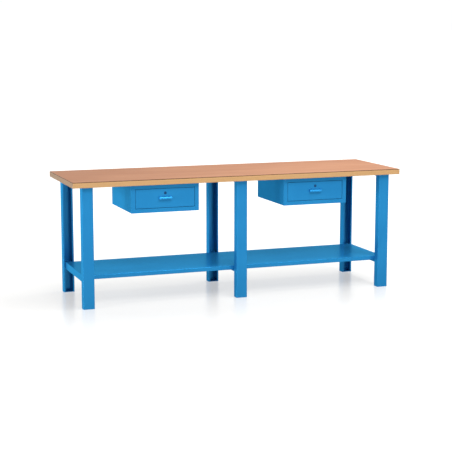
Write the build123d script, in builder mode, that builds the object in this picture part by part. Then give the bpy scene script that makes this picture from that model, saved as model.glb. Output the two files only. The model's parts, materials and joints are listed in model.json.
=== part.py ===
from build123d import *
import os

# A steel workbench with a wooden top, three leg frames, two lower shelf trays and two lockable
# drawer units. Millimetres. X runs along the bench, -Y is the front, Z is up, and the origin is
# on the floor under the middle of the worktop.

# ---------------------------------------------------------------- driving sizes
bench_length = 2500.0
bench_depth = 750.0
bench_height = 900.0

core_thickness = 36.0
facing_thickness = 4.0
top_arris = 1.0

leg_width = 80.0
leg_depth = 60.0
leg_sheet = 2.0
leg_bend = 3.5
leg_lip = 12.0
leg_end_inset = 70.0
leg_setback = 35.0

foot_plate_thickness = 4.0
foot_plate_gap = 0.5
foot_plate_corner = 3.0
anchor_hole_radius = 5.5

crossbar_width = 50.0
crossbar_sheet = 2.0
crossbar_bend = 3.0
lower_crossbar_height = 50.0
upper_crossbar_height = 20.0

shelf_top_height = 230.0
shelf_sheet = 1.5
shelf_bend = 2.5
shelf_lip = 30.0
shelf_return = 12.0
shelf_leg_gap = 0.5
shelf_joint_gap = 1.0
shelf_notch_gap = 1.0

stud_radius = 3.0
stud_length = 16.0
stud_spread = 400.0
stud_hole_gap = 0.5
shelf_stud_inset = 14.0
nut_flats = 10.0
nut_height = 5.0
thread_gap = 0.1

screw_radius = 2.5
screw_depth = 26.0
screw_head_radius = 5.0
screw_head_height = 3.0
screw_head_chamfer = 0.8
screw_hole_gap = 0.3
screw_tip_gap = 1.0
worktop_screw_pitch = 250.0

unit_width = 500.0
unit_depth = 520.0
unit_height = 200.0
unit_setback = 40.0
unit_outward_shift = 7.0
case_sheet = 1.5
case_bend = 2.5
case_border = 30.0
case_flange = 26.0
side_reveal = 60.0
top_reveal = 32.0
lip_reveal = 12.0
case_screw_pitch = 350.0

front_gap = 2.5
front_panel_depth = 15.0
front_sheet = 1.5
front_rear_lip = 14.0
front_edge_radius = 1.2

slide_height = 45.0
slide_thickness = 12.7
slide_sheet = 1.2
slide_bend = 1.8
slide_length = 500.0
slide_start = 1.0
slide_drop = 6.0
slide_member_gap = 1.3
ball_radius = 1.4
ball_gap = 0.3
ball_pitch = 30.0
balls_per_row = 8
cage_sheet = 0.6
cage_gap = 0.3
cage_length = 250.0
cage_start = 120.0
cage_end_margin = 20.0
outer_cage_depth = 7.0
inner_cage_depth = 6.0

tray_sheet = 1.0
tray_bend = 1.8
tray_height = 96.0
tray_front_height = 76.0
tray_front_post = 5.5
tray_floor_rise = 1.5
tray_length = 485.0

lock_drop = 31.0
lock_barrel_radius = 9.0
lock_rim_overhang = 1.2
lock_rim_height = 1.5
lock_rim_round = 0.8
lock_barrel_length = 20.0
lock_fit_gap = 0.1
lock_nut_wall = 3.0
lock_nut_height = 4.0
plug_radius = 6.0
plug_running_gap = 0.08
plug_proud = 0.8
plug_head_radius = 7.4
plug_head_gap = 0.2
plug_head_chamfer = 0.4
plug_tail = 6.0
tail_half_width = 3.0
keyway_width = 1.6
keyway_height = 7.0
keyway_depth = 8.0
cam_reach = 42.0
cam_width = 14.0
cam_corner = 6.5
cam_thickness = 2.0
cam_barrel_gap = 1.0
cam_hole_gap = 0.05
cam_nut_flats = 12.0
cam_nut_height = 2.5
cam_slot_gap = 2.0

handle_width = 94.0
handle_radius = 20.0
handle_skirt = 2.0
handle_wall = 2.0
handle_corner = 4.0
handle_drop = 11.0
boss_pitch = 64.0
boss_radius = 4.0
boss_drop = 8.0
handle_screw_radius = 2.0
handle_screw_head = 3.6
handle_screw_reach = 8.0
small_head_height = 2.0
tray_screw_pitch = 150.0
tray_screw_rise = 8.0

overcut = 1.0

# ---------------------------------------------------------------- worked out from them
top_thickness = core_thickness + facing_thickness
underside = bench_height - top_thickness
leg_web = bench_depth / 2 - leg_setback
foot_plate_depth = leg_depth - 2 * leg_sheet
foot_plate_y = leg_web - leg_sheet - foot_plate_depth / 2
frame_x = {
    "left": -(bench_length / 2 - leg_end_inset - leg_width / 2),
    "middle": 0.0,
    "right": bench_length / 2 - leg_end_inset - leg_width / 2,
}
side_sign = {"left": -1, "right": 1}
leg_side = {"front": -1, "rear": 1}
crossbar_length = 2 * (leg_web - leg_sheet)
lower_crossbar_top = shelf_top_height - shelf_sheet
shelf_half_depth = leg_web - leg_depth - shelf_leg_gap
unit_x = {
    name: sign * (frame_x["right"] / 2 + unit_outward_shift) for name, sign in side_sign.items()
}
unit_front = -(bench_depth / 2 - unit_setback)
unit_back = unit_front + unit_depth
unit_bottom = underside - unit_height
opening_half = unit_width / 2 - case_border
opening_bottom = unit_bottom + case_border
opening_top = underside - case_border
front_half = opening_half - front_gap
front_bottom = opening_bottom + front_gap
front_top = opening_top - front_gap
front_rear = unit_front + front_panel_depth
slide_y = front_rear + slide_start
slide_z = (opening_bottom + opening_top) / 2 - slide_drop
slide_inner_half = slide_height / 2 - slide_sheet
ball_space = 2 * (ball_radius + ball_gap)
middle_half = slide_inner_half - ball_space
middle_inner_half = middle_half - slide_sheet
moving_half = middle_inner_half - ball_space
outer_cage_back = slide_sheet + cage_gap
middle_back = outer_cage_back + cage_sheet + cage_gap
inner_cage_back = middle_back + slide_sheet + cage_gap
moving_tip = inner_cage_back + cage_sheet + 2 * cage_gap
tray_half = opening_half - slide_thickness
tray_bottom = front_bottom + tray_floor_rise
lock_z = front_top - lock_drop
lock_rim_radius = lock_barrel_radius + lock_rim_overhang
cam_front = unit_front + lock_barrel_length + cam_barrel_gap
handle_top = lock_z - handle_drop - lock_rim_radius
handle_bottom = handle_top - handle_radius - handle_skirt
handle_screw_z = handle_top - boss_drop
tray_screw_z = tray_bottom + tray_screw_rise


# ---------------------------------------------------------------- sections and small shapes
def upright_plane(x, y, z):
    """A plane standing across Y and facing the rear: its x axis is +X, its y axis is down."""
    return Plane(origin=(x, y, z), x_dir=(1, 0, 0), z_dir=(0, 1, 0))


def channel_section(plane, width, depth, sheet, bend):
    """A folded channel: web along the plane's x axis at y = 0, flanges towards +y."""
    with BuildSketch(plane) as section:
        with Locations((0, depth / 2)):
            Rectangle(width, depth)
        fillet(section.vertices().group_by(Axis.Y)[0], bend)
        with BuildSketch(mode=Mode.SUBTRACT) as hollow:
            with Locations((0, sheet + depth / 2)):
                Rectangle(width - 2 * sheet, depth)
            fillet(hollow.vertices().group_by(Axis.Y)[0], bend - sheet)
    return section.sketch


def lipped_section(plane, width, depth, sheet, bend, lip):
    """A folded channel whose flanges end in lips turned in over its open side."""
    with BuildSketch(plane) as section:
        with Locations((0, depth / 2)):
            Rectangle(width, depth)
        fillet(section.vertices(), bend)
        with BuildSketch(mode=Mode.SUBTRACT) as hollow:
            with Locations((0, depth / 2)):
                Rectangle(width - 2 * sheet, depth - 2 * sheet)
            fillet(hollow.vertices(), bend - sheet)
        with Locations((0, depth)):
            Rectangle(width - 2 * lip, depth, mode=Mode.SUBTRACT)
    return section.sketch


def holes(points, radius, start, depth):
    """Round cutters standing at one height, for a cut made by subtracting them."""
    with BuildPart() as cutters:
        with BuildSketch(Plane.XY.offset(start)):
            with Locations(*points):
                Circle(radius)
        extrude(amount=depth)
    return cutters.part


def screw_holes(points, top, sheet, radius):
    """Cutters for holes through a horizontal sheet whose upper face is at top."""
    return holes(points, radius, top - sheet - overcut, sheet + 2 * overcut)


def write(piece, name):
    """Labels one finished piece and writes its file."""
    piece.part.label = name
    export_step(piece.part, f"parts/{name}.step")


# ---------------------------------------------------------------- where fasteners go
def worktop_screw_points():
    """Plan positions of the screws that hold the worktop to the upper crossbars."""
    return [(x, k * worktop_screw_pitch) for x in frame_x.values() for k in (-1, 0, 1)]


def case_screw_points(unit):
    """Plan positions of the screws that hang one drawer case from the worktop."""
    reach = unit_width / 2 - case_flange / 2
    middle_y = (unit_front + unit_back) / 2
    return [
        (unit_x[unit] + sx * reach, middle_y + sy * case_screw_pitch / 2)
        for sx in (-1, 1)
        for sy in (-1, 1)
    ]


def shelf_stud_points(shelf):
    """Plan positions of one shelf tray's studs, over an end crossbar and the middle one."""
    sign = side_sign[shelf]
    ends = (frame_x[shelf], sign * shelf_stud_inset)
    return [(x, sy * stud_spread / 2) for x in ends for sy in (-1, 1)]


# ---------------------------------------------------------------- worktop
def make_worktop_core():
    """The thick wooden board, with blind pilot holes under it for every screw."""
    screws = worktop_screw_points() + case_screw_points("left") + case_screw_points("right")
    with BuildPart() as core:
        with BuildSketch(Plane.XY.offset(underside)):
            Rectangle(bench_length, bench_depth)
        extrude(amount=core_thickness)
        fillet(core.edges().filter_by(Axis.Z), top_arris)
        chamfer(core.faces().sort_by(Axis.Z)[0].edges(), top_arris)
        pilots = holes(screws, screw_radius + thread_gap, underside, screw_depth + screw_tip_gap)
        add(pilots, mode=Mode.SUBTRACT)
    write(core, "worktop_core")


def make_worktop_facing():
    """The thin hard board glued over the core."""
    with BuildPart() as facing:
        with BuildSketch(Plane.XY.offset(underside + core_thickness)):
            Rectangle(bench_length, bench_depth)
        extrude(amount=facing_thickness)
        fillet(facing.edges().filter_by(Axis.Z), top_arris)
        fillet(facing.faces().sort_by(Axis.Z)[-1].edges(), top_arris)
    write(facing, "worktop_facing")


def make_screw_group(name, points, seat):
    """Wood screws driven up: a flat head under the seat and a shank into the worktop."""
    with BuildPart() as screws:
        with BuildSketch(Plane.XY.offset(seat - screw_head_height)):
            with Locations(*points):
                Circle(screw_head_radius)
        extrude(amount=screw_head_height)
        heads = screws.faces().sort_by(Axis.Z)[0 : len(points)]
        chamfer(heads.edges(), screw_head_chamfer)
        with BuildSketch(Plane.XY.offset(seat)):
            with Locations(*points):
                Circle(screw_radius)
        extrude(amount=underside - seat + screw_depth)
    write(screws, name)


# ---------------------------------------------------------------- leg frames
def make_leg(frame, end):
    """A lipped channel leg with its web to the outside, front or rear."""
    side = leg_side[end]
    base = Plane(origin=(frame_x[frame], side * leg_web, 0), x_dir=(-side, 0, 0), z_dir=(0, 0, 1))
    with BuildPart() as leg:
        extrude(
            lipped_section(base, leg_width, leg_depth, leg_sheet, leg_bend, leg_lip),
            amount=underside,
        )
    write(leg, f"leg_{frame}_{end}")


def make_foot_plates():
    """Welded floor plates inside the feet of the six legs, each with an anchor hole."""
    plate_width = leg_width - 2 * (leg_sheet + foot_plate_gap)
    centres = [(x, side * foot_plate_y) for x in frame_x.values() for side in leg_side.values()]
    with BuildPart() as plates:
        with BuildSketch() as outline:
            with Locations(*centres):
                Rectangle(plate_width, foot_plate_depth)
            chamfer(outline.vertices(), foot_plate_corner)
            with Locations(*centres):
                Circle(anchor_hole_radius, mode=Mode.SUBTRACT)
        extrude(amount=foot_plate_thickness)
    write(plates, "foot_plates")


def make_crossbar(frame, level, top, height, points, hole_radius):
    """A channel with its web up, welded between the webs of a front and a rear leg."""
    base = upright_plane(frame_x[frame], -crossbar_length / 2, top)
    with BuildPart() as bar:
        extrude(
            channel_section(base, crossbar_width, height, crossbar_sheet, crossbar_bend),
            amount=crossbar_length,
        )
        add(screw_holes(points, top, crossbar_sheet, hole_radius), mode=Mode.SUBTRACT)
    write(bar, f"crossbar_{level}_{frame}")


def make_crossbars():
    studs = shelf_stud_points("left") + shelf_stud_points("right")
    for frame, x in frame_x.items():
        own_studs = [p for p in studs if abs(p[0] - x) < crossbar_width / 2]
        make_crossbar(
            frame, "lower", lower_crossbar_top, lower_crossbar_height, own_studs,
            stud_radius + stud_hole_gap,
        )
        own_screws = [p for p in worktop_screw_points() if abs(p[0] - x) < crossbar_width / 2]
        make_crossbar(
            frame, "upper", underside, upper_crossbar_height, own_screws,
            screw_radius + screw_hole_gap,
        )


# ---------------------------------------------------------------- lower shelf
def make_shelf(shelf):
    """A folded tray, face up, with lips at the front and rear, laid on two crossbars."""
    sign = side_sign[shelf]
    near = sign * shelf_joint_gap / 2
    far = frame_x[shelf] + sign * crossbar_width / 2
    start, length = min(near, far), abs(far - near)
    base = Plane(origin=(start, 0, shelf_top_height), x_dir=(0, -1, 0), z_dir=(1, 0, 0))
    notch_height = shelf_lip - shelf_sheet
    with BuildPart() as tray:
        extrude(
            lipped_section(
                base, 2 * shelf_half_depth, shelf_lip, shelf_sheet, shelf_bend, shelf_return
            ),
            amount=length,
        )
        for bar_x in (frame_x[shelf], 0.0):
            with BuildSketch(Plane.XY.offset(shelf_top_height - shelf_lip)):
                with Locations((bar_x, 0)):
                    Rectangle(crossbar_width + 2 * shelf_notch_gap, 2 * shelf_half_depth)
            extrude(amount=notch_height, mode=Mode.SUBTRACT)
    write(tray, f"shelf_{shelf}")


def make_shelf_fixings():
    """Studs welded under the trays, and the nuts on them inside the crossbars."""
    points = shelf_stud_points("left") + shelf_stud_points("right")
    with BuildPart() as studs:
        with BuildSketch(Plane.XY.offset(lower_crossbar_top - stud_length)):
            with Locations(*points):
                Circle(stud_radius)
        extrude(amount=stud_length)
    write(studs, "shelf_studs")
    with BuildPart() as nuts:
        with BuildSketch(Plane.XY.offset(lower_crossbar_top - crossbar_sheet - nut_height)):
            with Locations(*points):
                RegularPolygon(nut_flats / 2, 6, major_radius=False)
                Circle(stud_radius + thread_gap, mode=Mode.SUBTRACT)
        extrude(amount=nut_height)
    write(nuts, "shelf_nuts")


# ---------------------------------------------------------------- drawer case
def make_case_shell(unit):
    """Bottom, two sides and two inward top flanges, folded from one sheet."""
    front_end = (unit_x[unit], unit_front + case_sheet, unit_bottom)
    base = Plane(origin=front_end, x_dir=(-1, 0, 0), z_dir=(0, 1, 0))
    with BuildPart() as shell:
        extrude(
            lipped_section(base, unit_width, unit_height, case_sheet, case_bend, case_flange),
            amount=unit_depth - case_sheet,
        )
        hole_radius = screw_radius + screw_hole_gap
        add(
            screw_holes(case_screw_points(unit), underside, case_sheet, hole_radius),
            mode=Mode.SUBTRACT,
        )
    write(shell, f"{unit}_case_shell")


def make_case_front(unit):
    """The front frame: a plate with the drawer opening, folded back around it."""
    x = unit_x[unit]
    with BuildPart() as frame:
        with BuildSketch(upright_plane(x, unit_front, underside)) as plate:
            with Locations((0, unit_height / 2)):
                Rectangle(unit_width, unit_height)
                fillet(plate.vertices(), case_bend)
                Rectangle(2 * opening_half, opening_top - opening_bottom, mode=Mode.SUBTRACT)
        extrude(amount=case_sheet)
        with BuildSketch(upright_plane(x, unit_front + case_sheet, underside)):
            for sx in (-1, 1):
                with Locations((sx * (opening_half + case_sheet / 2), unit_height / 2)):
                    Rectangle(case_sheet, opening_top - opening_bottom)
        extrude(amount=side_reveal - case_sheet)
        with BuildSketch(upright_plane(x, unit_front + case_sheet, underside)):
            with Locations((0, unit_height - case_border + case_sheet / 2)):
                Rectangle(2 * (opening_half + case_sheet), case_sheet)
        extrude(amount=lip_reveal - case_sheet)
        with BuildSketch(upright_plane(x, unit_front + case_sheet, underside)):
            with Locations((0, case_border - case_sheet / 2)):
                Rectangle(2 * (opening_half + case_sheet), case_sheet)
        extrude(amount=top_reveal - case_sheet)
        with BuildSketch(Plane.XY.offset(opening_top - overcut)):
            slot_x = x + (cam_reach - cam_width) / 2
            with Locations((slot_x, cam_front + cam_thickness / 2)):
                Rectangle(cam_reach + cam_width, cam_thickness + 2 * cam_slot_gap)
        extrude(amount=case_sheet + 2 * overcut, mode=Mode.SUBTRACT)
    write(frame, f"{unit}_case_front")


def make_case_back(unit):
    """The rear panel, with two tabs folded forward to carry the slides' rear ends."""
    x = unit_x[unit]
    inner_width = unit_width - 2 * case_sheet
    inner_height = unit_height - 2 * case_sheet
    tab_length = unit_back - case_sheet - (slide_y + slide_length) + side_reveal
    with BuildPart() as panel:
        with BuildSketch(upright_plane(x, unit_back - case_sheet, underside)) as plate:
            with Locations((0, unit_height / 2)):
                Rectangle(inner_width, inner_height)
            chamfer(plate.vertices(), case_bend)
        extrude(amount=case_sheet)
        with BuildSketch(upright_plane(x, unit_back - case_sheet - tab_length, slide_z)):
            for sx in (-1, 1):
                with Locations((sx * (opening_half + case_sheet / 2), 0)):
                    Rectangle(case_sheet, slide_height)
        extrude(amount=tab_length)
    write(panel, f"{unit}_case_back")


# ---------------------------------------------------------------- ball slides
def slide_plane(unit, sx, back, y, outward=False):
    """A plane across Y at a slide: its y axis points at the drawer, or outward at the case."""
    turn = sx if outward else -sx
    x = unit_x[unit] + sx * (opening_half - back)
    return Plane(origin=(x, y, slide_z), x_dir=(0, 0, turn), z_dir=(0, 1, 0))


def make_slide_member(unit, side, kind, half, back, depth, outward=False):
    """One member of one slide, a channel the length of the slide."""
    plane = slide_plane(unit, side_sign[side], back, slide_y, outward)
    with BuildPart() as member:
        extrude(
            channel_section(plane, 2 * half, depth, slide_sheet, slide_bend),
            amount=slide_length,
        )
    write(member, f"{unit}_slide_{kind}_{side}")


def make_slides(unit):
    fixed_depth = slide_thickness - 2 * cage_gap
    middle_depth = slide_thickness - slide_member_gap - middle_back
    moving_depth = slide_thickness - moving_tip
    for side in side_sign:
        make_slide_member(unit, side, "fixed", slide_height / 2, 0, fixed_depth)
        make_slide_member(unit, side, "middle", middle_half, middle_back, middle_depth)
        make_slide_member(unit, side, "moving", moving_half, slide_thickness, moving_depth, True)


def make_cage(unit, kind, row_half, back, depth):
    """Both slides' ball cages of one kind: a thin channel that holds two rows of balls."""
    first_ball = slide_y + cage_start + cage_end_margin
    with BuildPart() as cages:
        for sx in side_sign.values():
            plane = slide_plane(unit, sx, back, slide_y + cage_start)
            width = 2 * row_half + cage_sheet
            extrude(
                channel_section(plane, width, depth, cage_sheet, 2 * cage_sheet),
                amount=cage_length,
            )
        ball_x = opening_half - back - depth / 2
        centres = [
            (unit_x[unit] + sx * ball_x, first_ball + k * ball_pitch, slide_z + sz * row_half)
            for sx in (-1, 1)
            for sz in (-1, 1)
            for k in range(balls_per_row)
        ]
        with Locations(*centres):
            Cylinder(ball_radius + thread_gap, 2 * cage_sheet, mode=Mode.SUBTRACT)
        with Locations(*centres):
            Sphere(ball_radius)
    write(cages, f"{unit}_ball_cages_{kind}")


def make_cages(unit):
    outer_row = slide_inner_half - ball_space / 2
    inner_row = middle_inner_half - ball_space / 2
    make_cage(unit, "outer", outer_row, outer_cage_back, outer_cage_depth)
    make_cage(unit, "inner", inner_row, inner_cage_back, inner_cage_depth)


# ---------------------------------------------------------------- drawer
def make_tray(unit):
    """The drawer's box: floor, sides, rear wall and a lower front wall."""
    x = unit_x[unit]
    with BuildPart() as tray:
        with BuildSketch(Plane.XY.offset(tray_bottom)):
            with Locations((x, front_rear + tray_length / 2)):
                Rectangle(2 * tray_half, tray_length)
        extrude(amount=tray_height)
        fillet(tray.edges().filter_by(Axis.Z), tray_bend)
        fillet(tray.faces().sort_by(Axis.Z)[0].edges(), tray_bend)
        top = tray.faces().sort_by(Axis.Z)[-1]
        offset(amount=-tray_sheet, openings=top, kind=Kind.INTERSECTION)
        with BuildSketch(upright_plane(x, front_rear - overcut, tray_bottom + tray_height)):
            with Locations((0, (tray_height - tray_front_height) / 2)):
                Rectangle(2 * (tray_half - tray_front_post), tray_height - tray_front_height)
        extrude(amount=tray_sheet + 2 * overcut, mode=Mode.SUBTRACT)
        with BuildSketch(upright_plane(x, front_rear - overcut, tray_screw_z)):
            with GridLocations(tray_screw_pitch, 1, 3, 1):
                Circle(handle_screw_radius + screw_hole_gap)
        extrude(amount=tray_sheet + 2 * overcut, mode=Mode.SUBTRACT)
    write(tray, f"{unit}_drawer_tray")


def make_front(unit):
    """The drawer's front: a folded panel, open at its back inside a lip, with its holes."""
    x = unit_x[unit]
    height = front_top - front_bottom
    with BuildPart() as panel:
        with BuildSketch(upright_plane(x, unit_front, front_top)):
            with Locations((0, height / 2)):
                Rectangle(2 * front_half, height)
        extrude(amount=front_panel_depth)
        fillet(panel.faces().sort_by(Axis.Y)[0].edges(), front_edge_radius)
        with BuildSketch(upright_plane(x, unit_front + front_sheet, front_top)):
            with Locations((0, height / 2)):
                Rectangle(2 * (front_half - front_sheet), height - 2 * front_sheet)
        extrude(amount=front_panel_depth - 2 * front_sheet, mode=Mode.SUBTRACT)
        with BuildSketch(upright_plane(x, front_rear - front_sheet - overcut, front_top)):
            with Locations((0, height / 2)):
                Rectangle(2 * (front_half - front_rear_lip), height - 2 * front_rear_lip)
        extrude(amount=front_sheet + 2 * overcut, mode=Mode.SUBTRACT)
        with BuildSketch(upright_plane(x, unit_front - overcut, lock_z)):
            Circle(lock_barrel_radius + lock_fit_gap)
        extrude(amount=front_sheet + 2 * overcut, mode=Mode.SUBTRACT)
        with BuildSketch(upright_plane(x, unit_front - overcut, handle_screw_z)):
            with GridLocations(boss_pitch, 1, 2, 1):
                Circle(handle_screw_radius + screw_hole_gap)
        extrude(amount=front_sheet + 2 * overcut, mode=Mode.SUBTRACT)
        with BuildSketch(upright_plane(x, front_rear - front_sheet - overcut, tray_screw_z)):
            with GridLocations(tray_screw_pitch, 1, 3, 1):
                Circle(handle_screw_radius + thread_gap)
        extrude(amount=front_sheet + 2 * overcut, mode=Mode.SUBTRACT)
    write(panel, f"{unit}_drawer_front")


def hood_outline(x, radius, drop):
    """Section of the handle's hood: an arc out from the drawer front, then a straight skirt."""
    base = Plane(origin=(x, unit_front, handle_bottom), x_dir=(0, 1, 0), z_dir=(1, 0, 0))
    with BuildSketch(base) as outline:
        with BuildLine():
            Line((0, 0), (0, radius + drop))
            RadiusArc((0, radius + drop), (-radius, drop), -radius)
            Line((-radius, drop), (-radius, 0))
            Line((-radius, 0), (0, 0))
        make_face()
    return outline.sketch


def make_handle(unit):
    """A hooded pull: rounded on top, open below for the fingers, with two screw bosses."""
    x = unit_x[unit]
    bore_start = unit_front - handle_screw_reach
    with BuildPart() as handle:
        extrude(hood_outline(x, handle_radius, handle_skirt), amount=handle_width / 2, both=True)
        rounded = handle.edges().filter_by(GeomType.CIRCLE)
        upright = handle.edges().filter_by(Axis.Z).group_by(Axis.Y)[0]
        fillet(rounded + upright, handle_corner)
        extrude(
            hood_outline(x, handle_radius - handle_wall, handle_skirt),
            amount=handle_width / 2 - handle_wall,
            both=True,
            mode=Mode.SUBTRACT,
        )
        with BuildSketch(upright_plane(x, bore_start - handle_wall, handle_screw_z)):
            with GridLocations(boss_pitch, 1, 2, 1):
                Circle(boss_radius)
        extrude(amount=handle_screw_reach + handle_wall)
        with BuildSketch(upright_plane(x, bore_start, handle_screw_z)):
            with GridLocations(boss_pitch, 1, 2, 1):
                Circle(handle_screw_radius + thread_gap)
        extrude(amount=handle_screw_reach, mode=Mode.SUBTRACT)
    write(handle, f"{unit}_handle")


def make_drawer_screws(unit):
    """Two screws into the handle from behind, and three from the tray into the front's lip."""
    x = unit_x[unit]
    handle_seat = unit_front + front_sheet
    tray_seat = front_rear + tray_sheet
    rows = (
        (handle_seat, handle_screw_z, boss_pitch, 2, handle_screw_reach + front_sheet - screw_tip_gap),
        (tray_seat, tray_screw_z, tray_screw_pitch, 3, tray_sheet + front_sheet + screw_tip_gap),
    )
    with BuildPart() as screws:
        for seat, z, pitch, count, shank in rows:
            with BuildSketch(upright_plane(x, seat, z)):
                with GridLocations(pitch, 1, count, 1):
                    Circle(handle_screw_head)
            extrude(amount=small_head_height)
            with BuildSketch(upright_plane(x, seat - shank, z)):
                with GridLocations(pitch, 1, count, 1):
                    Circle(handle_screw_radius)
            extrude(amount=shank)
    write(screws, f"{unit}_drawer_screws")


# ---------------------------------------------------------------- lock
def make_lock_body(unit):
    """The fixed barrel of the lock, with a rim in front, bored for the plug."""
    x = unit_x[unit]
    with BuildPart() as barrel:
        with BuildSketch(upright_plane(x, unit_front - lock_rim_height, lock_z)):
            Circle(lock_rim_radius)
        extrude(amount=lock_rim_height)
        fillet(barrel.faces().sort_by(Axis.Y)[0].edges(), lock_rim_round)
        with BuildSketch(upright_plane(x, unit_front, lock_z)):
            Circle(lock_barrel_radius)
        extrude(amount=lock_barrel_length)
        with BuildSketch(upright_plane(x, unit_front - lock_rim_height - overcut, lock_z)):
            Circle(plug_radius + plug_running_gap)
        extrude(amount=lock_rim_height + lock_barrel_length + 2 * overcut, mode=Mode.SUBTRACT)
        with BuildSketch(upright_plane(x, unit_front - lock_rim_height - overcut, lock_z)):
            Circle(plug_head_radius + plug_running_gap)
        extrude(amount=lock_rim_height + overcut, mode=Mode.SUBTRACT)
    write(barrel, f"{unit}_lock_barrel")


def make_lock_nut(unit):
    """The nut that clamps the barrel to the drawer front from inside."""
    with BuildPart() as nut:
        with BuildSketch(upright_plane(unit_x[unit], unit_front + front_sheet, lock_z)):
            RegularPolygon(lock_barrel_radius + lock_nut_wall, 6, major_radius=False)
            Circle(lock_barrel_radius + lock_fit_gap, mode=Mode.SUBTRACT)
        extrude(amount=lock_nut_height)
    write(nut, f"{unit}_lock_nut")


def make_lock_plug(unit):
    """The plug that the key turns: a head with the keyway, a shaft and a squared tail."""
    x = unit_x[unit]
    plug_front = unit_front - lock_rim_height - plug_proud
    tail_end = cam_front + cam_thickness + plug_tail
    with BuildPart() as plug:
        with BuildSketch(upright_plane(x, plug_front, lock_z)):
            Circle(plug_head_radius)
        extrude(amount=lock_rim_height + plug_proud - plug_head_gap)
        chamfer(plug.faces().sort_by(Axis.Y)[0].edges(), plug_head_chamfer)
        with BuildSketch(upright_plane(x, unit_front - plug_head_gap, lock_z)):
            Circle(plug_radius)
        extrude(amount=cam_front - unit_front + plug_head_gap)
        with BuildSketch(upright_plane(x, cam_front, lock_z)):
            Rectangle(2 * tail_half_width, 2 * tail_half_width)
        extrude(amount=tail_end - cam_front)
        with BuildSketch(upright_plane(x, plug_front, lock_z)):
            Rectangle(keyway_width, keyway_height)
        extrude(amount=keyway_depth, mode=Mode.SUBTRACT)
    write(plug, f"{unit}_lock_plug")


def make_lock_cam(unit):
    """The cam on the plug's tail, lying sideways when unlocked, and the nut that holds it."""
    x = unit_x[unit]
    tail_hole = 2 * (tail_half_width + cam_hole_gap)
    with BuildPart() as cam:
        with BuildSketch(upright_plane(x, cam_front, lock_z)):
            with Locations(((cam_reach - cam_width / 2) / 2, 0)):
                RectangleRounded(cam_reach + cam_width / 2, cam_width, cam_corner)
            Rectangle(tail_hole, tail_hole, mode=Mode.SUBTRACT)
        extrude(amount=cam_thickness)
        with BuildSketch(upright_plane(x, cam_front + cam_thickness, lock_z)):
            RegularPolygon(cam_nut_flats / 2, 6, major_radius=False)
            Rectangle(tail_hole, tail_hole, mode=Mode.SUBTRACT)
        extrude(amount=cam_nut_height)
    write(cam, f"{unit}_lock_cam")


# ---------------------------------------------------------------- build everything
os.makedirs("parts", exist_ok=True)
make_worktop_core()
make_worktop_facing()
make_screw_group("worktop_screws", worktop_screw_points(), underside - crossbar_sheet)
for frame_name in frame_x:
    for end_name in leg_side:
        make_leg(frame_name, end_name)
make_foot_plates()
make_crossbars()
for side_name in side_sign:
    make_shelf(side_name)
make_shelf_fixings()
for unit_name in side_sign:
    make_case_shell(unit_name)
    make_case_front(unit_name)
    make_case_back(unit_name)
    make_screw_group(f"{unit_name}_case_screws", case_screw_points(unit_name), underside - case_sheet)
    make_slides(unit_name)
    make_cages(unit_name)
    make_tray(unit_name)
    make_front(unit_name)
    make_handle(unit_name)
    make_drawer_screws(unit_name)
    make_lock_body(unit_name)
    make_lock_nut(unit_name)
    make_lock_plug(unit_name)
    make_lock_cam(unit_name)
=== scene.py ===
"""Looks for a steel workbench with a wooden top, a lower shelf and two drawer units."""

import json
import math
import random

import bmesh
import bpy
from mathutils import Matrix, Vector


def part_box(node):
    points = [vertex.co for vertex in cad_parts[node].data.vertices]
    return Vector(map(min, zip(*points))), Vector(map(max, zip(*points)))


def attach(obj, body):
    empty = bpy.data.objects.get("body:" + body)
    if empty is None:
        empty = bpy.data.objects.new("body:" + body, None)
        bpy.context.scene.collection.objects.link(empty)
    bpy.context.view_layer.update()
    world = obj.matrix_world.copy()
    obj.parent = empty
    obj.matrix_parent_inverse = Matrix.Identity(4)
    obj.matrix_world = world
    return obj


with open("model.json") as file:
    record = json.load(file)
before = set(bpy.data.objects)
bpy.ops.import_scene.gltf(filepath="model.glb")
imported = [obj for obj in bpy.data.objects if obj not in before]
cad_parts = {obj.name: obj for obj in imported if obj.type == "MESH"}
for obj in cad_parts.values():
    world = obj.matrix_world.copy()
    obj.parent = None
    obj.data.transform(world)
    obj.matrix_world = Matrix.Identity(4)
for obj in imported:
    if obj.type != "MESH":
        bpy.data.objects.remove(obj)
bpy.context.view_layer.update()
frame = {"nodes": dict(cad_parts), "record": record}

FRAME_SIDES = ("left", "middle", "right")
MM = 0.001


# ------------------------------------------------------------------ shader values
EDGE_STARTS = 0.965
EDGE_FULL = 0.75


class Amount:
    """A number or colour on its way through a finish, with arithmetic."""

    def __init__(self, finish, socket):
        self.finish = finish
        self.socket = socket

    def calc(self, operation, other, swapped=False):
        pair = (other, self) if swapped else (self, other)
        return self.finish.node(
            "ShaderNodeMath", {"operation": operation}, {0: pair[0], 1: pair[1]}
        )

    def __add__(self, other):
        return self.calc("ADD", other)

    def __radd__(self, other):
        return self.calc("ADD", other, True)

    def __sub__(self, other):
        return self.calc("SUBTRACT", other)

    def __rsub__(self, other):
        return self.calc("SUBTRACT", other, True)

    def __mul__(self, other):
        return self.calc("MULTIPLY", other)

    def __rmul__(self, other):
        return self.calc("MULTIPLY", other, True)


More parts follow.
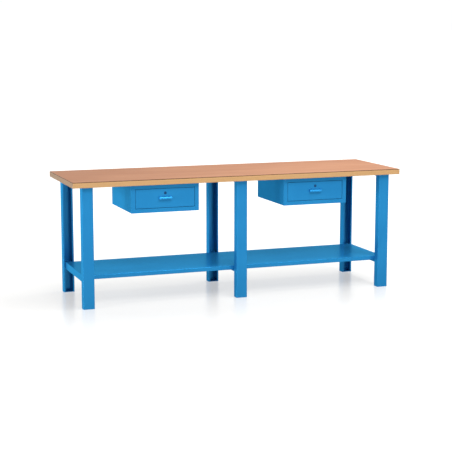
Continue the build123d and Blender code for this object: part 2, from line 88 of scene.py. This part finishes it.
class Finish:
    """The nodes of one material, or of the studio's surround."""

    def __init__(self, owner):
        self.owner = owner
        self.owner.use_nodes = True
        self.tree = self.owner.node_tree
        self.tree.nodes.clear()

    def node(self, kind, settings, sockets, output=0):
        """Adds a node: settings first, then each socket's value or link. Gives back one output."""
        made = self.tree.nodes.new(kind)
        for name, value in settings.items():
            if name == "stops":
                self.set_stops(made.color_ramp, value)
            else:
                setattr(made, name, value)
        for key, value in sockets.items():
            if isinstance(value, Amount):
                self.tree.links.new(value.socket, made.inputs[key])
            else:
                made.inputs[key].default_value = value
        return Amount(self, made.outputs[output]) if made.outputs else None

    def set_stops(self, ramp, stops):
        while len(ramp.elements) < len(stops):
            ramp.elements.new(0.5)
        for element, (place, value) in zip(ramp.elements, stops):
            element.position = place
            element.color = value

    def place(self):
        """The point on the surface, in metres, in the bench's own frame."""
        return self.node("ShaderNodeTexCoord", {}, {}, "Object")

    def scaled(self, point, x, y, z):
        return self.node(
            "ShaderNodeVectorMath", {"operation": "MULTIPLY"}, {0: point, 1: (x, y, z)}
        )

    def split(self, vector):
        made = self.node("ShaderNodeSeparateXYZ", {}, {0: vector})
        outputs = made.socket.node.outputs
        return [Amount(self, outputs[k]) for k in range(3)]

    def noise(self, point, scale, detail=3.0, roughness=0.5, distortion=0.0):
        return self.node(
            "ShaderNodeTexNoise",
            {},
            {
                "Vector": point,
                "Scale": scale,
                "Detail": detail,
                "Roughness": roughness,
                "Distortion": distortion,
            },
        )

    def ramp(self, value, *stops):
        return self.node("ShaderNodeValToRGB", {"stops": stops}, {0: value})

    def band(self, value, low, high, start=0.0, end=1.0):
        """value moved from low..high to start..end, held at the ends."""
        return self.node(
            "ShaderNodeMapRange", {}, {0: value, 1: low, 2: high, 3: start, 4: end}
        )

    def blend(self, share, first, second):
        return self.node(
            "ShaderNodeMix", {"data_type": "RGBA"}, {0: share, 6: first, 7: second}, 2
        )

    def facing(self):
        """The surface's normal, split into its three parts."""
        return self.split(self.node("ShaderNodeNewGeometry", {}, {}, "Normal"))

    def edge(self, radius):
        """1 on an outer or inner edge within radius, 0 on the flat.

        same is the cosine between the true normal and the one rounded over the edge.
        """
        rounded = self.node("ShaderNodeBevel", {"samples": 6}, {"Radius": radius})
        normal = self.node("ShaderNodeNewGeometry", {}, {}, "Normal")
        same = self.node(
            "ShaderNodeVectorMath", {"operation": "DOT_PRODUCT"}, {0: rounded, 1: normal}, "Value"
        )
        return self.band(same, EDGE_STARTS, EDGE_FULL)

    def bump(self, height, strength, distance):
        return self.node(
            "ShaderNodeBump", {}, {"Strength": strength, "Distance": distance, "Height": height}
        )

    def surface(self, **sockets):
        """Ends a material in one shader, whose sockets are named with underscores for spaces."""
        named = {key.replace("_", " "): value for key, value in sockets.items()}
        shader = self.node("ShaderNodeBsdfPrincipled", {}, named)
        self.node("ShaderNodeOutputMaterial", {}, {"Surface": shader})
        return self.owner


def new_finish(name):
    return Finish(bpy.data.materials.new(name))


def colour(red, green, blue):
    return (red, green, blue, 1.0)


# ------------------------------------------------------------------ finishes
# Reach of the paler folds: partly a thinner coat, partly a painted highlight along the bends.
FOLD_HIGHLIGHT_AND_WEAR = 1.6 * MM
PEEL_DEPTH = 0.1 * MM
GRAIN_DEPTH = 0.3 * MM
METAL_LINE_DEPTH = 0.1 * MM
LOCK_WEAR = 0.6 * MM
PLY_COUNT = 18
# The floor's glow is painted light: it grows from GLOW_NEAR at SHADE_NEAR metres to GLOW_FAR at
# SHADE_FAR metres from the bench's middle, leaving painted shade round the bench. Along the bench these
# reaches are longer, by 1 / FLOOR_SQUEEZE.
FLOOR_SQUEEZE = 0.6
SHADE_NEAR, SHADE_FAR = 0.8, 3.2
GLOW_NEAR, GLOW_FAR = 0.47, 0.88


def powder_coat(name, base, light, dark):
    """Powder coat: orange peel, slow drift in tone, a faint clear gloss; paler on the folds, partly a
    thinner coat and partly a painted highlight.
    """
    finish = new_finish(name)
    point = finish.place()
    drift = finish.band(finish.noise(point, 3.0, 2.0), 0.35, 0.65)
    fine = finish.noise(point, 900.0, 2.0, 0.6)
    peel = finish.noise(point, 330.0, 2.0, 0.5)
    tone = finish.blend(drift, dark, base)
    patchy = finish.band(finish.noise(point, 60.0, 4.0), 0.35, 0.7, 0.25, 0.8)
    # Paler blue along the folds, in patches: partly a thinner coat, partly a painted highlight that the
    # bends catch.
    paler_edges = finish.edge(FOLD_HIGHLIGHT_AND_WEAR) * patchy
    tone = finish.blend(paler_edges, tone, light)
    rough = 0.24 + finish.noise(point, 45.0, 4.0, 0.6) * 0.10 + fine * 0.03
    height = peel * 0.8 + fine * 0.2
    return finish.surface(
        Base_Color=tone,
        Roughness=rough,
        Metallic=0.42,
        Coat_Weight=0.05,
        Coat_Roughness=0.28,
        Specular_IOR_Level=0.0,
        Specular_Tint=colour(0.17, 0.78, 1.0),
        Normal=finish.bump(height, 0.05, PEEL_DEPTH),
    )


def facing_board(name):
    """Hard facing board: fine lengthwise fibre on top, dark brown on its cut edges."""
    finish = new_finish(name)
    point = finish.place()
    long_grain = finish.scaled(point, 1.6, 34.0, 34.0)
    fibre = finish.noise(finish.scaled(point, 9.0, 420.0, 420.0), 1.0, 4.0, 0.6)
    streak = finish.noise(long_grain, 1.0, 4.0, 0.55, 0.25)
    cloud = finish.noise(finish.scaled(point, 1.2, 3.0, 3.0), 1.0, 3.0, 0.5)
    fleck = finish.band(finish.noise(finish.scaled(point, 40.0, 700.0, 700.0), 1.0, 2.0), 0.62, 0.74)
    top = finish.ramp(
        streak * 0.62 + fibre * 0.2 + cloud * 0.18,
        (0.32, colour(0.205, 0.078, 0.032)),
        (0.50, colour(0.262, 0.112, 0.051)),
        (0.68, colour(0.318, 0.150, 0.076)),
    )
    top = finish.blend(fleck * 0.35, top, colour(0.30, 0.125, 0.06))
    upward = finish.facing()[2]
    side = finish.blend(fibre, colour(0.020, 0.008, 0.004), colour(0.050, 0.020, 0.010))
    tone = finish.blend(finish.band(upward, 0.35, 0.75), side, top)
    return finish.surface(
        Base_Color=tone,
        Roughness=0.46 + fibre * 0.12,
        Specular_IOR_Level=0.16,
        Normal=finish.bump(streak * 0.4 + fibre * 0.6, 0.12, GRAIN_DEPTH),
    )


def layered_core(name, low, high):
    """Beech plies glued crosswise: each cut edge shows long and end grain by turns."""
    finish = new_finish(name)
    point = finish.place()
    up = finish.split(point)[2]
    wave = finish.noise(finish.scaled(point, 5.0, 5.0, 0.0), 1.0, 2.0) * 0.35
    level = (up - low) * (PLY_COUNT / (high - low)) + wave
    ply = finish.node("ShaderNodeMath", {"operation": "FLOOR"}, {0: level})
    inside = finish.node("ShaderNodeMath", {"operation": "FRACT"}, {0: level})
    odd = finish.node("ShaderNodeMath", {"operation": "PINGPONG"}, {0: ply, 1: 1.0})
    glue = finish.band(inside, 0.0, 0.09, 1.0, 0.0)
    each = finish.node("ShaderNodeTexWhiteNoise", {"noise_dimensions": "1D"}, {"W": ply}, "Value")
    lengthwise = finish.noise(finish.scaled(point, 14.0, 14.0, 900.0), 1.0, 4.0, 0.6)
    endwise = finish.noise(finish.scaled(point, 900.0, 900.0, 500.0), 1.0, 3.0, 0.6)
    long_ply = finish.blend(lengthwise, colour(0.56, 0.30, 0.120), colour(0.75, 0.48, 0.245))
    end_ply = finish.blend(endwise, colour(0.40, 0.195, 0.068), colour(0.58, 0.33, 0.130))
    edge = finish.blend(odd, long_ply, end_ply)
    edge = finish.blend(each * 0.35, edge, colour(0.71, 0.44, 0.20))
    edge = finish.blend(glue * 0.45, edge, colour(0.33, 0.15, 0.055))
    veneer = finish.ramp(
        finish.noise(finish.scaled(point, 1.8, 30.0, 30.0), 1.0, 5.0, 0.6, 0.5),
        (0.35, colour(0.62, 0.38, 0.19)),
        (0.65, colour(0.80, 0.56, 0.32)),
    )
    endward, _, upward = finish.facing()
    # Both end faces are turned darker and greyer: painted shade on the bench's ends.
    end_face_shade = finish.band(endward * endward, 0.4, 0.7)
    edge = finish.blend(end_face_shade * 0.74, edge, colour(0.20, 0.135, 0.095))
    flat = finish.band(upward * upward, 0.4, 0.7)
    return finish.surface(
        Base_Color=finish.blend(flat, edge, veneer),
        Roughness=0.46 + endwise * 0.15,
        Specular_IOR_Level=0.25,
        Normal=finish.bump(glue * -0.5 + endwise * 0.3, 0.25, GRAIN_DEPTH),
    )


def zinc_plate(name):
    """Zinc-plated steel: fine rolling lines, a cloudy passivated tint."""
    finish = new_finish(name)
    point = finish.place()
    lines = finish.noise(finish.scaled(point, 2500.0, 60.0, 2500.0), 1.0, 3.0, 0.6)
    cloud = finish.noise(point, 26.0, 3.0, 0.5)
    tone = finish.ramp(
        cloud,
        (0.30, colour(0.50, 0.51, 0.53)),
        (0.55, colour(0.62, 0.62, 0.60)),
        (0.75, colour(0.60, 0.64, 0.68)),
    )
    return finish.surface(
        Base_Color=tone,
        Metallic=1.0,
        Roughness=0.26 + lines * 0.16,
        Normal=finish.bump(lines, 0.08, METAL_LINE_DEPTH),
    )


def lock_enamel(name):
    """Deep blue enamel on the lock, over turned steel that shows at its rubbed edges."""
    finish = new_finish(name)
    point = finish.place()
    turned = finish.noise(finish.scaled(point, 1500.0, 300.0, 1500.0), 1.0, 3.0)
    paler_edges = finish.edge(LOCK_WEAR)
    tone = finish.blend(turned, colour(0.003, 0.050, 0.150), colour(0.005, 0.075, 0.210))
    tone = finish.blend(paler_edges * 0.35, tone, colour(0.10, 0.20, 0.32))
    return finish.surface(
        Base_Color=tone,
        Metallic=0.2,
        Specular_IOR_Level=0.2,
        Roughness=0.30 + turned * 0.15,
        Normal=finish.bump(turned, 0.08, METAL_LINE_DEPTH),
    )


def studio_floor(name):
    """A seamless pale floor with a faint sheen and a painted glow that grows away from the bench,
    leaving painted shade near it.
    """
    finish = new_finish(name)
    point = finish.place()
    mottle = finish.noise(point, 4.0, 3.0)
    flat = finish.scaled(point, FLOOR_SQUEEZE, 1.0, 0.0)
    reach = finish.node("ShaderNodeVectorMath", {"operation": "LENGTH"}, {0: flat}, "Value")
    return finish.surface(
        Base_Color=finish.blend(mottle, colour(0.315, 0.308, 0.292), colour(0.330, 0.323, 0.307)),
        Roughness=0.22 + mottle * 0.04,
        Specular_IOR_Level=0.25,
        Emission_Color=finish.band(reach, SHADE_NEAR, SHADE_FAR, GLOW_NEAR, GLOW_FAR),
        Emission_Strength=1.0,
    )


# ------------------------------------------------------------------ putting finishes on
blue = powder_coat(
    "blue_powder_coat", colour(0.021, 0.235, 0.52), colour(0.06, 0.33, 0.66), colour(0.018, 0.215, 0.49)
)
core_low, core_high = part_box("worktop_core")
edge_wood = layered_core("layered_beech", core_low.z, core_high.z)
top_board = facing_board("tan_facing_board")
zinc = zinc_plate("zinc_plate")
lock_blue = lock_enamel("deep_blue_enamel")

FINISH_OF_SLOT = {
    "blue_paint": blue,
    "core_wood": edge_wood,
    "facing_board": top_board,
    "zinc_steel": zinc,
    "lock_enamel": lock_blue,
}
slot_of_node = {s["node"]: s["material_slot"] for s in frame["record"]["subparts"]}
for node_name, piece in frame["nodes"].items():
    piece.data.materials.clear()
    piece.data.materials.append(FINISH_OF_SLOT[slot_of_node[node_name]])


# ------------------------------------------------------------------ welds
LEG_SHEET = 2.0 * MM
WELD_STEP = 0.9 * MM
WELD_RIPPLE = 3.2 * MM
WELD_DIP = 0.16
WELD_SPREAD = 0.03
WELD_TIP = 0.5
WELD_SIDES = 8
WELD_OFFSET = 0.8 * MM
CROSSBAR_WELD_RADIUS = 2.3 * MM
FOOT_WELD_RADIUS = 2.1 * MM
FOOT_CORNER_CUT = 3.0 * MM


def weld_bead(mesh, corners, normal, radius, chance):
    """A rippled bead along straight runs in one plane, rounded off at both ends."""
    points = []
    for start, end in zip(corners, corners[1:]):
        steps = max(2, round((end - start).length / WELD_STEP))
        points += [start.lerp(end, k / steps) for k in range(steps)]
    points.append(corners[-1])
    last = len(points) - 1
    rings = []
    for index, point in enumerate(points):
        along = (points[min(index + 1, last)] - points[max(index - 1, 0)]).normalized()
        side = along.cross(normal)
        ripple = 1 - WELD_DIP + WELD_DIP * abs(math.sin(math.pi * index * WELD_STEP / WELD_RIPPLE))
        taper = min(1.0, WELD_TIP + (1 - WELD_TIP) / 2 * min(index, last - index))
        reach = radius * ripple * taper * chance.uniform(1 - WELD_SPREAD, 1 + WELD_SPREAD)
        turns = [2 * math.pi * k / WELD_SIDES for k in range(WELD_SIDES)]
        rings.append(
            [mesh.verts.new(point + reach * (math.cos(t) * normal + math.sin(t) * side)) for t in turns]
        )
    for ring, following in zip(rings, rings[1:]):
        for k in range(WELD_SIDES):
            after = (k + 1) % WELD_SIDES
            mesh.faces.new((ring[k], ring[after], following[after], following[k]))
    mesh.faces.new(rings[0][::-1])
    mesh.faces.new(rings[-1])


def finish_welds(mesh, name):
    """One painted piece of weld beads, riding on the frame."""
    bmesh.ops.recalc_face_normals(mesh, faces=mesh.faces)
    for face in mesh.faces:
        face.smooth = True
    data = bpy.data.meshes.new(name)
    mesh.to_mesh(data)
    mesh.free()
    data.materials.append(blue)
    welds = bpy.data.objects.new(name, data)
    bpy.context.scene.collection.objects.link(welds)
    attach(welds, "frame")


def make_crossbar_welds():
    """Beads round the crossbars' ends, on the inner faces of the legs' webs."""
    mesh = bmesh.new()
    chance = random.Random(11)
    radius = CROSSBAR_WELD_RADIUS
    for side in FRAME_SIDES:
        for level in ("lower", "upper"):
            low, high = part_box(f"crossbar_{level}_{side}")
            left, right = low.x - WELD_OFFSET, high.x + WELD_OFFSET
            top = high.z + WELD_OFFSET
            for y in (low.y + WELD_OFFSET, high.y - WELD_OFFSET):
                if level == "lower":
                    runs = [[(left, low.z), (left, top), (right, top), (right, low.z)]]
                else:
                    runs = [[(x, low.z), (x, high.z - radius)] for x in (left, right)]
                for run in runs:
                    corners = [Vector((x, y, z)) for x, z in run]
                    weld_bead(mesh, corners, Vector((0, 1, 0)), radius, chance)
    finish_welds(mesh, "crossbar_welds")


def make_foot_welds():
    """Beads on the foot plates, round the inside of each leg's foot."""
    mesh = bmesh.new()
    chance = random.Random(12)
    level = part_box("foot_plates")[1].z + WELD_OFFSET
    for side in FRAME_SIDES:
        for end, outward in (("front", -1), ("rear", 1)):
            low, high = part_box(f"leg_{side}_{end}")
            inset = LEG_SHEET + WELD_OFFSET
            mouth_gap = 3 * inset
            left, right = low.x + inset, high.x - inset
            web = high.y - inset if outward > 0 else low.y + inset
            mouth = low.y + mouth_gap if outward > 0 else high.y - mouth_gap
            bend = web - outward * FOOT_CORNER_CUT
            outline = [
                (left, mouth), (left, bend), (left + FOOT_CORNER_CUT, web),
                (right - FOOT_CORNER_CUT, web), (right, bend), (right, mouth),
            ]
            corners = [Vector((x, y, level)) for x, y in outline]
            weld_bead(mesh, corners, Vector((0, 0, 1)), FOOT_WELD_RADIUS, chance)
    finish_welds(mesh, "foot_welds")


make_crossbar_welds()
make_foot_welds()


# ------------------------------------------------------------------ studio
FLOOR_HALF_WIDTH = 400.0
SEEN_BRIGHTNESS = 1.02
CAST_BRIGHTNESS = 0.34
SEEN_WHITE = (1, 1, 1, 1)
CAST_WHITE = (0.98, 0.99, 1, 1)

CAMERA_PLACE = (-3.1472, -8.6407, 1.9506)
CAMERA_YAW = 0.3493
CAMERA_PITCH = 0.1588
CAMERA_SENSOR = 36.0
CAMERA_LENS = 98.96
CAMERA_FAR_LIMIT = 1000.0


def make_floor():
    sheet = bmesh.new()
    half = FLOOR_HALF_WIDTH
    corners = [(-half, -half), (half, -half), (half, half), (-half, half)]
    sheet.faces.new([sheet.verts.new((x, y, 0)) for x, y in corners])
    mesh = bpy.data.meshes.new("studio_floor")
    sheet.to_mesh(mesh)
    floor = bpy.data.objects.new("studio_floor", mesh)
    bpy.context.scene.collection.objects.link(floor)
    mesh.materials.append(studio_floor("pale_floor"))
    floor.visible_diffuse = False


def softbox(name, place, target, width, height, power):
    """A rectangular lamp at place, turned to target. Metres and watts."""
    lamp = bpy.data.lights.new(name, "AREA")
    lamp.shape = "RECTANGLE"
    lamp.size = width
    lamp.size_y = height
    lamp.energy = power
    light = bpy.data.objects.new(name, lamp)
    light.location = place
    light.rotation_euler = (Vector(target) - Vector(place)).to_track_quat("-Z", "Y").to_euler()
    bpy.context.scene.collection.objects.link(light)


def make_daylight():
    """A white surround, bright to look at and in reflections, dimmer as a light."""
    world = bpy.data.worlds.new("white_studio")
    sky = Finish(world)
    looking = sky.node("ShaderNodeLightPath", {}, {}, "Is Camera Ray")
    mirrored = sky.node("ShaderNodeLightPath", {}, {}, "Is Glossy Ray")
    either = sky.node("ShaderNodeMath", {"operation": "MAXIMUM"}, {0: looking, 1: mirrored})
    seen = sky.node("ShaderNodeBackground", {}, {"Color": SEEN_WHITE, "Strength": SEEN_BRIGHTNESS})
    cast = sky.node("ShaderNodeBackground", {}, {"Color": CAST_WHITE, "Strength": CAST_BRIGHTNESS})
    pick = sky.node("ShaderNodeMixShader", {}, {0: either, 1: cast, 2: seen})
    sky.node("ShaderNodeOutputWorld", {}, {"Surface": pick})
    bpy.context.scene.world = world


def make_camera():
    lens = bpy.data.cameras.new("front_left_view")
    lens.sensor_width = CAMERA_SENSOR
    lens.lens = CAMERA_LENS
    lens.clip_end = CAMERA_FAR_LIMIT
    view = bpy.data.objects.new("front_left_view", lens)
    view.location = CAMERA_PLACE
    view.rotation_euler = (math.pi / 2 - CAMERA_PITCH, 0.0, -CAMERA_YAW)
    bpy.context.scene.collection.objects.link(view)
    bpy.context.scene.camera = view


make_floor()
make_daylight()
softbox("left_softbox", (-6.8, -1.5, 1.5), (0, 0, 0.4), 3.0, 2.0, 310)
softbox("front_softbox", (0.5, -4.5, 4.95), (0.2, 0, 0.6), 5.0, 2.5, 305)
softbox("overhead_softbox", (1.4, -0.15, 4.6), (1.1, -0.1, 0.9), 3.6, 1.8, 270)
make_camera()
bpy.context.scene.view_settings.view_transform = "Standard"
